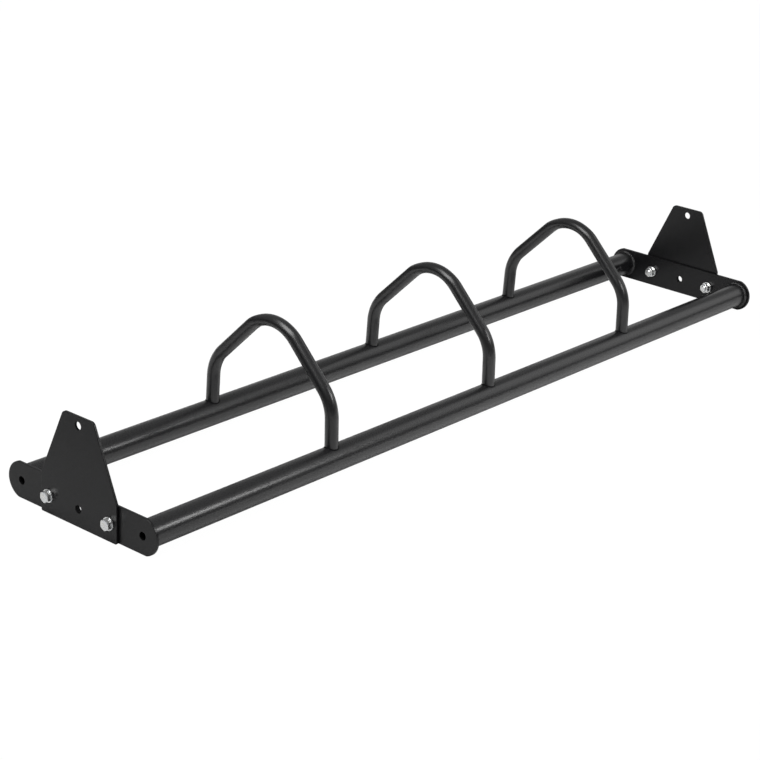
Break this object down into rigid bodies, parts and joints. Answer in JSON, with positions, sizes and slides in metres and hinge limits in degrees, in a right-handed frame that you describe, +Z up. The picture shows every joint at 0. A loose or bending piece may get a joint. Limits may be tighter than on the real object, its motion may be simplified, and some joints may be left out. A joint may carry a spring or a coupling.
{
  "type": "bumper plate rack",
  "caption": "Low steel rack of round rails and bent tube dividers that stores bumper plates on edge and bolts between the uprights of a rig.",
  "frame": {"origin": "on the floor under the middle of the rack", "axes": "+X along the rails, towards the end on the right from the front; +Y from the front rail to the back rail; +Z up"},
  "size_m": [1.8418, 0.369, 0.2671],
  "materials": {
    "rail_coat": "satin black powder coat",
    "divider_coat": "satin black powder coat",
    "plate_coat": "satin black powder coat",
    "bracket_coat": "satin black powder coat",
    "weld_coat": "satin black powder coat over weld",
    "bolt_zinc": "bright zinc plating",
    "nut_zinc": "bright zinc plating",
    "washer_zinc": "bright zinc plating"
  },
  "bodies": {
    "root": {"front_rail": "rail_coat", "back_rail": "rail_coat", "left_divider": "divider_coat", "left_divider_front_weld": "weld_coat", "left_divider_back_weld": "weld_coat", "middle_divider": "divider_coat", "middle_divider_front_weld": "weld_coat", "middle_divider_back_weld": "weld_coat", "right_divider": "divider_coat", "right_divider_front_weld": "weld_coat", "right_divider_back_weld": "weld_coat", "left_end_plate": "plate_coat", "left_rig_bracket": "bracket_coat", "left_front_rail_weld": "weld_coat", "left_front_bolt": "bolt_zinc", "left_front_head_washer": "washer_zinc", "left_front_nut_washer": "washer_zinc", "left_front_nut": "nut_zinc", "left_back_rail_weld": "weld_coat", "left_back_bolt": "bolt_zinc", "left_back_head_washer": "washer_zinc", "left_back_nut_washer": "washer_zinc", "left_back_nut": "nut_zinc", "right_end_plate": "plate_coat", "right_rig_bracket": "bracket_coat", "right_front_rail_weld": "weld_coat", "right_front_bolt": "bolt_zinc", "right_front_head_washer": "washer_zinc", "right_front_nut_washer": "washer_zinc", "right_front_nut": "nut_zinc", "right_back_rail_weld": "weld_coat", "right_back_bolt": "bolt_zinc", "right_back_head_washer": "washer_zinc", "right_back_nut_washer": "washer_zinc", "right_back_nut": "nut_zinc"}
  },
  "joints": []
}
